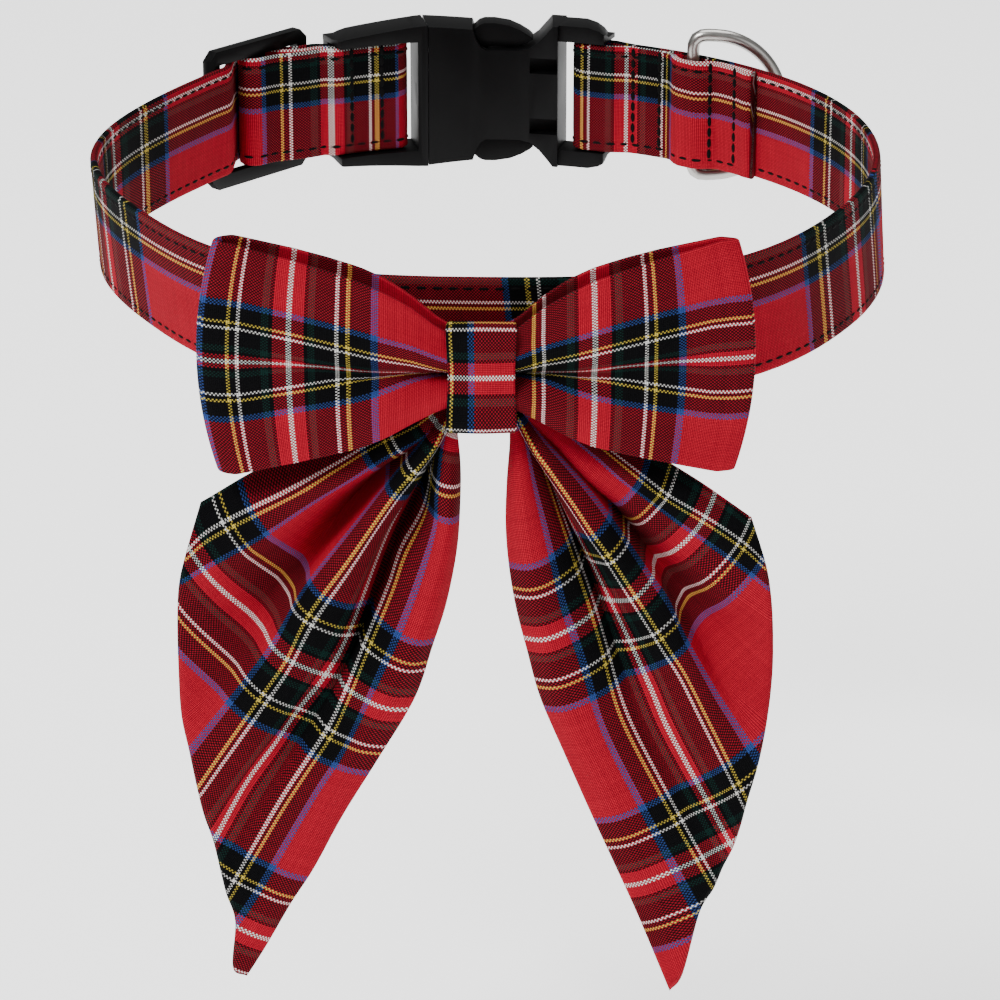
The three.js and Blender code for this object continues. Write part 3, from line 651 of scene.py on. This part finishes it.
def make_bow_loops():
    cloth = settings("cloth")
    wall = cloth.loop_wall
    middle = loops_low.y + wall / 2 + LOOP_DEPTH

    def loop_length(turn):
        return LOOP_LENGTH - (RIGHT_LOOP_SHORTER if math.cos(turn) > 0 else 0.0)

    def crease(out):
        """Height of the middle crease, as a share of half height."""
        return -CREASE_LOW * (1 - ease(out / 0.8))

    def surface(turn, share):
        """Middle of the cloth: turn round the band as seen from above, and share down from its upper edge."""
        out = abs(math.cos(turn))
        front = math.sin(turn) < 0
        high = 1 - 2 * share
        opening = ease((out - PINCH_OUT / BOW_HALF_LENGTH) / 0.28)
        flat = LOOP_END_FLAT[math.cos(turn) > 0] * out * out
        depth = mix(PINCH_DEPTH, LOOP_DEPTH, opening) * (1 - flat) * math.sqrt(max(1 - out ** 24, 0))
        valley = 0.0
        if front:
            near = 1 - ease(out / 0.75)
            valley = LOOP_VALLEY * near * math.exp(-(((high - crease(out)) / 0.18) ** 2))
            valley -= LOOP_RIDGE * near * math.exp(-(((abs(high - crease(out)) - 0.5) / 0.22) ** 2))
        x = math.cos(turn) * loop_length(turn) * (1 - LOOP_CORNER_PULL * high * high * out * out)
        y = middle + math.copysign(depth, math.sin(turn)) + valley
        z = high * column(LOOP_HALF, out) * BOW_HALF_HEIGHT - column(LOOP_DROP, out) * KNOT_DROP
        return Vector((LOOPS_CENTRE_X + x, y, z))

    places = section(2 * BOW_HALF_HEIGHT, wall, 26, 3)
    rows = 160

    def at(across, offset, share):
        turn = 2 * math.pi * share
        delta = 1e-3
        along = surface(turn + delta, across) - surface(turn - delta, across)
        down = surface(turn, min(across + delta, 1.0)) - surface(turn, max(across - delta, 0.0))
        normal = along.cross(down).normalized()
        point = surface(turn, across) - normal * offset * wall
        out = abs(math.cos(turn))
        high = 1 - 2 * across
        # The crease beside the knot swallows the middle stripes
        beside = high - crease(out)
        hidden = CREASE_TAKES * max(1 - out / 0.85, 0.0) * (1 - abs(high)) * math.tanh(beside / 0.06)
        lying = -high * BOW_HALF_HEIGHT - (hidden if math.sin(turn) < 0 else 0.0)
        return point, (column(LOOP_SETT, math.cos(turn) * loop_length(turn)), lying)

    bm = cloth_tube(places, rows, at, closed_along=True)
    loops = piece("bow_loops_cloth", bm, tartan)
    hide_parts("bow_loops")


# How far along a ray each of its lifts stands
LIFT_PLACES = (0, 0.15, 0.35, 0.65, 1)
# The tails' pleats: rays from inside the knot to the outer edge, from the top edge to the inner edge.
# Each row: place in the short sett; lifts towards the front; points x, z
LEFT_RAYS = (
    (48.0, (0, 0, 0, 0, 0), ((-5, -5.2), (-11, -7.4), (-21.2, -15.6), (-33.2, -20.9), (-44.6, -25),
     (-56.4, -31.5))),
    (44.1, (0, 3.2, 3.1, 2, 1), ((-5, -6.2), (-11.5, -13.5), (-24, -20.4), (-34.5, -25.9), (-45, -31),
     (-54.5, -36.5), (-59.3, -41.2))),
    (38.9, (0, 2.2, 2.1, 1.2, 0.6), ((-5, -7), (-12, -16.1), (-22.7, -22.8), (-31.7, -28.5), (-43.5, -37.2),
     (-55.7, -44.9), (-61, -48.3))),
    (33.0, (0, -3, -2.9, -1.6, 0), ((-5.2, -7.6), (-14, -19.3), (-26, -28.8), (-37, -37.5), (-48.5, -46.5),
     (-61.6, -56))),
    (26.0, (0, -5.7, -5.5, -3.4, -0.4), ((-5.4, -8), (-16, -22.5), (-30, -36.7), (-40, -47.5), (-51, -57.5),
     (-61.7, -66))),
    (17.0, (0, -3.8, -3.6, -2, -0.4), ((-5.6, -8.5), (-16.7, -24.2), (-32, -43), (-42.5, -57.5),
     (-52.5, -69), (-61.4, -77))),
    (11.9, (0, 1.9, 1.8, 1.4, 0.2), ((-5.8, -9), (-11.5, -17.4), (-17.4, -24.9), (-25.5, -35.8),
     (-35.5, -49.3), (-42, -61), (-48, -69.6), (-59.9, -85.2))),
    (8.1, (0, 4.1, 3.9, 2.2, 0.6), ((-6, -9.5), (-10.2, -17.5), (-15.1, -23.7), (-19.2, -29), (-28.3, -43),
     (-35.6, -54.2), (-40.2, -64), (-45.4, -72.3), (-58.5, -93))),
    (3.5, (0, 0.5, 0.5, 0.6, 0.4), ((-6.1, -10), (-10.4, -19.5), (-16, -29), (-22, -39), (-30, -56),
     (-36.5, -67.5), (-42.5, -77.5), (-57.3, -99))),
    (0.0, (0, -3, -2.9, -0.8, 0), ((-6.2, -10.4), (-10.6, -21), (-16.5, -31.4), (-21.1, -40.5),
     (-28.4, -60), (-33.1, -68.9), (-38.6, -76.3), (-43.2, -83.5), (-49, -92), (-55.6, -104.9))),
    (-4.0, (0, -6.2, -6, -1.6, 0), ((-6.3, -10.8), (-9.8, -21), (-13, -31.5), (-17.8, -43), (-24, -59),
     (-30.5, -72), (-38.5, -85), (-46, -97), (-54.3, -111.5))),
    (-6.8, (0, -1.9, -1.8, 1.2, 0.4), ((-6.4, -11.2), (-9.6, -20), (-11.8, -32.8), (-16.6, -42.5),
     (-19.3, -50.7), (-24.4, -63), (-28.6, -72.8), (-32.3, -80.3), (-42, -96), (-53.2, -116.5))),
    (-11.9, (0, 2.2, 2.1, 1.6, 0.4), ((-6.5, -11.5), (-8.4, -18), (-9.6, -29), (-10.3, -36.7),
     (-15.7, -53.2), (-21.2, -66.4), (-28.6, -82.7), (-35, -93.5), (-46.1, -114), (-51.5, -122.8))),
    (-15.5, (0, 3, 2.9, 1.4, 0.4), ((-6.6, -11.8), (-7.4, -18), (-7.6, -28), (-8.2, -37.5), (-11.8, -52.6),
     (-16.5, -65.5), (-24.5, -81.5), (-32, -95), (-43.9, -119), (-52.2, -133.2))),
    (-19.0, (0, 0, 0, 0, 0), ((-6.8, -12), (-6.3, -17.3), (-5.9, -24.6), (-6.1, -32.4), (-6.7, -41.8),
     (-8.6, -52.6), (-11.2, -61.4), (-14.8, -73.2), (-22.1, -86.4), (-29.5, -99.2), (-35.3, -110.7),
     (-40.2, -118.8), (-45.1, -128), (-49.4, -135.4))),
)
RIGHT_RAYS = (
    (50.0, (0, 0, 0, 0, 0), ((2.2, -5.2), (8.5, -9), (18.4, -15), (29.8, -20.9), (41.8, -27.8),
     (51.5, -34.8))),
    (44.1, (0, 3.2, 3.1, 2, 1), ((2.2, -6.2), (8.3, -12.6), (13.4, -15.2), (20.2, -19), (28.2, -24.3),
     (35, -29), (43, -34.1), (49.9, -39.3), (54.3, -43.6))),
    (38.9, (0, 2.2, 2.1, 1.4, 0.6), ((2.3, -7), (7.1, -12.8), (13.3, -16.6), (20.2, -21.6), (29, -28.1),
     (36.3, -34.1), (43.5, -39.7), (50.4, -45.3), (55.5, -49.8))),
    (34.5, (0, 0.5, 0.5, -0.6, 0), ((2.4, -7.4), (7, -13.6), (13.5, -19.2), (20, -26.3), (26.5, -31.5),
     (34, -38.5), (44, -48), (56.2, -57.5))),
    (25.0, (0, -5.9, -5.7, -3.8, -0.6), ((2.5, -7.9), (7, -14.5), (16, -24.6), (24, -34), (31.5, -43),
     (40, -52.5), (48.5, -60.5), (56.4, -68))),
    (16.0, (0, -4.6, -4.4, -2.4, -0.4), ((2.6, -8.4), (7, -15), (16.8, -26), (25.5, -37.6), (32.5, -48),
     (39, -58.5), (46, -69), (55.6, -78))),
    (11.9, (0, 1.6, 1.6, 1.2, 0.2), ((2.7, -8.9), (6.7, -14.6), (17.1, -26.8), (23.9, -36), (30.8, -46.6),
     (34.9, -52.8), (38.2, -60.5), (44, -71.4), (47.7, -77.3), (54, -87.5))),
    (8.1, (0, 4.1, 3.9, 2.2, 0.6), ((2.8, -9.4), (7.2, -16.2), (10.7, -21.3), (16.3, -29.8), (20.3, -36.3),
     (24, -41.8), (29.3, -50.9), (35, -60.9), (38.7, -67), (43.3, -77.1), (51.8, -96))),
    (3.5, (0, 1.4, 1.3, 1.2, 0.4), ((2.9, -9.8), (7.1, -16.8), (10.4, -22), (15.3, -30.5), (20.5, -39.5),
     (25.5, -49), (30.3, -58.5), (34.8, -68), (40, -80), (50.6, -101.5))),
    (0.0, (0, -2.2, -2.1, 0.2, 0), ((3, -10.1), (6.9, -16.6), (9.9, -22.3), (13.9, -30.6), (18.4, -40),
     (22.3, -48), (26.3, -56.5), (29.2, -63), (32.7, -71.5), (36.1, -80.1), (44.5, -97), (49.2, -106.5))),
    (-4.0, (0, -5.1, -4.9, -1.4, 0), ((3.1, -10.3), (6.8, -16.5), (9.5, -23), (12.9, -31.5), (16.7, -41),
     (20.2, -50.5), (23.7, -60), (27.5, -70.5), (33, -84), (47.2, -111))),
    (-8.1, (0, -0.8, -0.8, 0.4, 0.4), ((3.2, -10.6), (6.5, -16.2), (9, -22.6), (10.5, -27), (13.2, -35.4),
     (16.4, -45.3), (19.3, -54.4), (21.7, -62.6), (25.9, -77.1), (33.5, -93), (45.4, -115.5))),
    (-11.9, (0, 1.9, 1.8, 1.2, 0.4), ((3.3, -10.9), (6.1, -16), (8.3, -26.8), (10.4, -35.4), (12.4, -44),
     (14.4, -52.6), (17.3, -61.3), (19.3, -67.9), (22.5, -79), (29.9, -95.1), (42.6, -121))),
    (-16.5, (0, 3, 2.9, 1.6, 0.4), ((3.4, -11.2), (5.3, -16.8), (5.9, -26), (6.8, -35.5), (8.2, -45),
     (10.1, -55), (12.6, -65), (16.2, -77.5), (25, -97), (39.4, -134.8))),
    (-21.0, (0, 0, 0, 0, 0), ((3.5, -11.5), (4.6, -17.3), (3.9, -27.3), (3.5, -36.1), (4.1, -45),
     (5.5, -53.9), (7.7, -63.1), (10.2, -72.9), (14.7, -84.4), (20.2, -98), (25.4, -110.2), (30.2, -121.7),
     (36.8, -138.9))),
)
PLEAT_CENTRE = Vector((-1.4, -5.2))     # the tails' cross lines run round this place, x and z
PLEAT_SQUEEZE = 0.913    # width over height of the rounds that they follow
CROSS_STRETCH = 1.135    # length of cloth over the way out from that place
TAIL_BACK = knot_high.y - 2.8     # middle of the tails' cloth inside the knot
TAIL_FORWARD = 3.2       # how far the tails stand forward once they leave the loops
PLEAT_RISE = 1.2         # scale of all lifts
PLEAT_CUT = 0.14         # how much the pleats' valleys deepen towards a crease, per millimetre
TAIL_WIDE = 55.0         # way across a tail, for the rounding of its edges


class TailSheet:
    """A tail's middle surface, lofted over its rays."""

    def __init__(self, rays, first_cross, rows):
        self.first_cross = first_cross
        self.sett = [row[0] for row in rays]
        lines = [self.spread(row[2], rows) for row in rays]
        lifts = [row[1] for row in rays]
        self.grid = []
        for j in range(rows + 1):
            share = j / rows
            places = [line[j] for line in lines]
            heights = [column(tuple(zip(LIFT_PLACES, lift)), share, True) for lift in lifts]
            self.grid.append((places, heights))

    def spread(self, points, rows):
        """Even places along a smooth line through a ray's points."""
        points = [Vector(p) for p in points]
        fine = [catmull(points, (len(points) - 1) * k / 400) for k in range(401)]
        arcs = [0.0]
        for a, b in zip(fine, fine[1:]):
            arcs.append(arcs[-1] + (b - a).length)
        line, k = [], 0
        for j in range(rows + 1):
            target = arcs[-1] * j / rows
            while k < len(arcs) - 2 and arcs[k + 1] < target:
                k += 1
            t = (target - arcs[k]) / max(arcs[k + 1] - arcs[k], 1e-9)
            line.append(fine[k].lerp(fine[k + 1], min(max(t, 0.0), 1.0)))
        return line

    def at(self, across, row):
        """A place on the sheet, from its top edge across to its inner edge."""
        places, heights = self.grid[row]
        place = across * (len(places) - 1)
        flat = catmull(places, place)
        lift = catmull(heights, place)
        lift *= PLEAT_RISE if lift > 0 else PLEAT_RISE - PLEAT_CUT * lift
        out = abs(flat.x - BOW_CENTRE_X) / BOW_HALF_LENGTH
        edge = -column(LOOP_HALF, out) * BOW_HALF_HEIGHT - column(LOOP_DROP, out) * KNOT_DROP
        below = ease((edge - flat.y + 1) / 9)
        y = TAIL_BACK - below * (TAIL_FORWARD + lift)
        return Vector((flat.x, y, flat.y))

    def cloth(self, across, row):
        """The cloth's own coordinates there."""
        spot = self.at(across, row)
        i = min(int(across * (len(self.sett) - 1)), len(self.sett) - 2)
        t = across * (len(self.sett) - 1) - i
        reach = math.hypot(spot.x - PLEAT_CENTRE.x, (spot.z - PLEAT_CENTRE.y) * PLEAT_SQUEEZE)
        return (reach - self.first_cross) * CROSS_STRETCH, mix(self.sett[i], self.sett[i + 1], t)


def make_tail(name, node, rays, first_cross, facing):
    """One tail. first_cross is the way from the pleats' centre to a white line of the long sett, and facing is
    the sign that turns the sheet's normal to the front."""
    cloth = settings("cloth")
    thick = cloth.tail_thick
    rows = 110
    sheet = TailSheet(rays, first_cross, rows)
    places = section(TAIL_WIDE, thick, 84, 3)
    delta = 0.004

    def at(across, offset, share):
        row = round(share * rows)
        spot = sheet.at(across, row)
        ahead, behind = sheet.at(across, min(row + 1, rows)), sheet.at(across, max(row - 1, 0))
        left, right = sheet.at(max(across - delta, 0.0), row), sheet.at(min(across + delta, 1.0), row)
        normal = (ahead - behind).cross(right - left)
        normal = normal.normalized() * facing if normal.length > 1e-9 else Vector((0, -1, 0))
        near_end = min(1.0, (rows - row) / 1.5)
        return spot + normal * offset * thick * math.sqrt(near_end), sheet.cloth(across, row)

    bm = cloth_tube(places, rows, at)
    tail = piece(name, bm, tartan)
    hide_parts(node)


KNOT_ROUND = 3.2         # rounding of the knot's four corners, seen from the side
KNOT_SIDE_PLACE = 7.3    # place in the short sett of the knot's left edge
KNOT_SLOPE = 0.38        # fall of the knot's top towards its back
KNOT_HANG = 1.3          # how much lower the front of the knot's bottom edge hangs


def make_knot_cloth():
    cloth = settings("cloth")
    wall = cloth.knot_wall
    half_depth = (knot_high.y - knot_low.y) / 2 - wall / 2
    half_height = (knot_high.z - knot_low.z) / 2 - wall / 2
    width = knot_high.x - knot_low.x
    straight_y, straight_z = 2 * (half_depth - KNOT_ROUND), 2 * (half_height - KNOT_ROUND)
    quarter = math.pi / 2 * KNOT_ROUND
    total = 2 * (straight_y + straight_z) + 4 * quarter

    def loop_place(arc):
        """A place on the knot's line, from the middle of its front downwards: y, z and outward normal."""
        arc = (arc + straight_z / 2) % total
        legs = ((Vector((-half_depth, half_height - KNOT_ROUND)), Vector((0, -1)), straight_z),
                (Vector((-half_depth + KNOT_ROUND, -half_height)), Vector((1, 0)), straight_y),
                (Vector((half_depth, -half_height + KNOT_ROUND)), Vector((0, 1)), straight_z),
                (Vector((half_depth - KNOT_ROUND, half_height)), Vector((-1, 0)), straight_y))
        for start, heading, run in legs:
            outward = Vector((heading.y, -heading.x))
            if arc <= run:
                return start + heading * arc, outward
            arc -= run
            if arc <= quarter:
                turn = arc / KNOT_ROUND
                centre = start + heading * run - outward * KNOT_ROUND
                swung = outward * math.cos(turn) + heading * math.sin(turn)
                return centre + swung * KNOT_ROUND, swung
            arc -= quarter
        # Rounding can carry an arc past the last corner
        return legs[0][0], Vector((-1, 0))

    rows = 120
    places = section(width, wall, 14, 3)

    def at(across, offset, share):
        arc = share * total
        spot, outward = loop_place(arc)
        sideways = (across - 0.5) * width
        front = max(-outward.x, 0.0)
        waist = 1 - 0.03 * math.cos(math.pi * min(max(spot.y / half_height, -1.0), 1.0)) * front
        swell = 0.35 * front * math.cos(math.pi * (across - 0.5)) ** 2
        reach = offset * wall + swell
        point = KNOT_MIDDLE + Vector((sideways * waist, spot.x + outward.x * reach, spot.y + outward.y * reach))
        back = (spot.x + half_depth) / (2 * half_depth)
        point.z -= KNOT_SLOPE * 2 * half_depth * back * ease(spot.y / half_height)
        point.z -= KNOT_HANG * (1 - back) * ease(-spot.y / half_height)
        return point, (arc if arc < total / 2 else arc - total, KNOT_SIDE_PLACE + across * width)

    bm = cloth_tube(places, rows, at, closed_along=True)
    knot = piece("knot_cloth", bm, tartan)
    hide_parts("knot_band")
    total * MM


def make_plastic_part(name, node):
    """A copy of a moulded part with its flat faces joined and its edges rounded."""
    bm = frame_copy(node)
    bmesh.ops.dissolve_limit(bm, angle_limit=math.radians(1.0), verts=bm.verts, edges=bm.edges)
    sharp = [edge for edge in bm.edges if len(edge.link_faces) == 2 and edge.calc_face_angle() > math.radians(28)]
    bmesh.ops.bevel(bm, geom=sharp, offset=settings("hardware").plastic_edge, segments=3, profile=0.5,
                    affect="EDGES", material=-1, clamp_overlap=True)
    bmesh.ops.triangulate(bm, faces=[face for face in bm.faces if len(face.verts) > 4])
    made = piece(name, bm, black_plastic)
    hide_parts(node)
    made.data.set_sharp_from_angle(angle=math.radians(38))


def make_ring():
    bm = frame_copy("d_ring")
    bmesh.ops.join_triangles(bm, faces=bm.faces, angle_face_threshold=math.radians(40),
                             angle_shape_threshold=math.radians(60))
    bmesh.ops.smooth_vert(bm, verts=bm.verts, factor=0.3, use_axis_x=True, use_axis_y=True, use_axis_z=True)
    bmesh.ops.subdivide_edges(bm, edges=bm.edges, cuts=1, use_grid_fill=True, smooth=1.0)
    made = piece("steel_ring", bm, nickel, body="ring")
    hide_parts("d_ring")


def make_floor():
    stage = settings("stage")
    bm = bmesh.new()
    bmesh.ops.create_grid(bm, x_segments=8, y_segments=8, size=4000.0)
    bmesh.ops.translate(bm, vec=(0, 0, -stage.floor_drop), verts=bm.verts)
    bmesh.ops.scale(bm, vec=(MM, MM, MM), verts=bm.verts)
    mesh = bpy.data.meshes.new("floor")
    bm.to_mesh(mesh)
    bm.free()
    mesh.materials.append(material(pale_floor))
    floor = bpy.data.objects.new("floor", mesh)
    bpy.context.scene.collection.objects.link(floor)


def make_lamp(name, place, size, power):
    """A square soft lamp that faces the neck's middle."""
    data = bpy.data.lights.new(name, "AREA")
    data.size = size
    data.energy = power
    lamp = bpy.data.objects.new(name, data)
    lamp.location = place
    lamp.rotation_euler = (-Vector(place)).to_track_quat("-Z", "Y").to_euler()
    bpy.context.scene.collection.objects.link(lamp)


def make_camera():
    stage = settings("stage")
    data = bpy.data.cameras.new("camera")
    data.lens = stage.lens
    data.sensor_width = 36.0
    data.clip_start = 0.01
    camera = bpy.data.objects.new("camera", data)
    back = stage.camera_back * MM
    camera.location = (0, -back * math.cos(stage.camera_rise), back * math.sin(stage.camera_rise))
    camera.rotation_euler = (math.pi / 2 - stage.camera_dip, 0, -stage.camera_turn)
    bpy.context.scene.collection.objects.link(camera)
    bpy.context.scene.camera = camera


class COLLAR_OT_stage(bpy.types.Operator):
    """Floor, soft lamps and camera"""

    bl_idname = "collar.stage"
    bl_label = "Set the stage"

    def execute(self, context):
        make_camera()
        make_floor()
        make_lamp("key_lamp", (-0.9, -0.95, 1.5), 0.7, 48)
        make_lamp("fill_lamp", (1.2, -1.2, 0.8), 1.2, 5)
        make_lamp("top_lamp", (0.1, 0.5, 1.6), 1.2, 20)
        world = bpy.data.worlds.new("studio")
        world.use_nodes = True
        world.node_tree.nodes["Background"].inputs["Color"].default_value = (1, 1, 1, 1)
        world.node_tree.nodes["Background"].inputs["Strength"].default_value = 0.25
        context.scene.world = world
        return {"FINISHED"}


class COLLAR_OT_strap(bpy.types.Operator):
    """The cloth strap with its sewn folds"""

    bl_idname = "collar.strap"
    bl_label = "Sew the strap"

    def execute(self, context):
        path = StrapPath()
        make_strap_cloth(path)
        make_stitches(path)
        return {"FINISHED"}


class COLLAR_OT_hardware(bpy.types.Operator):
    """Slider, buckle halves and steel ring"""

    bl_idname = "collar.hardware"
    bl_label = "Mould the hardware"

    def execute(self, context):
        make_plastic_part("slider_moulding", "slider")
        make_plastic_part("buckle_plug", "buckle_male")
        make_plastic_part("buckle_socket", "buckle_female")
        make_ring()
        return {"FINISHED"}


class COLLAR_OT_loops(bpy.types.Operator):
    """The bow's two loops"""

    bl_idname = "collar.loops"
    bl_label = "Fold the loops"

    def execute(self, context):
        make_bow_loops()
        return {"FINISHED"}


class COLLAR_OT_tails(bpy.types.Operator):
    """The two pleated tails"""

    bl_idname = "collar.tails"
    bl_label = "Pleat the tails"

    def execute(self, context):
        make_tail("left_tail_cloth", "bow_tail_left", LEFT_RAYS, 65.8, 1)
        make_tail("right_tail_cloth", "bow_tail_right", RIGHT_RAYS, 50.7, -1)
        return {"FINISHED"}


class COLLAR_OT_knot(bpy.types.Operator):
    """The knot band round the bow's middle"""

    bl_idname = "collar.knot"
    bl_label = "Wrap the knot"

    def execute(self, context):
        make_knot_cloth()
        return {"FINISHED"}


OPERATORS = (COLLAR_OT_stage, COLLAR_OT_strap, COLLAR_OT_hardware, COLLAR_OT_loops, COLLAR_OT_tails,
             COLLAR_OT_knot)


class COLLAR_PT_pieces(bpy.types.Panel):
    """The collar's pieces in the sidebar"""

    bl_label = "Bow tie collar"
    bl_idname = "COLLAR_PT_pieces"
    bl_space_type = "VIEW_3D"
    bl_region_type = "UI"
    bl_category = "Collar"

    def draw(self, context):
        for group, kind in SETTING_GROUPS.items():
            box = self.layout.box()
            for name in kind.__annotations__:
                box.prop(getattr(context.scene, "collar_" + group), name)
        for operator in OPERATORS:
            self.layout.operator(operator.bl_idname)


CLASSES = (*SETTING_GROUPS.values(), *OPERATORS, COLLAR_PT_pieces)


def register():
    for kind in CLASSES:
        bpy.utils.register_class(kind)
    for group, kind in SETTING_GROUPS.items():
        setattr(bpy.types.Scene, "collar_" + group, bpy.props.PointerProperty(type=kind))


def unregister():
    for group in SETTING_GROUPS:
        delattr(bpy.types.Scene, "collar_" + group)
    for kind in reversed(CLASSES):
        bpy.utils.unregister_class(kind)


def main():
    register()
    for operator in OPERATORS:
        family, name = operator.bl_idname.split(".")
        getattr(getattr(bpy.ops, family), name)()


if __name__ == "__main__":
    main()
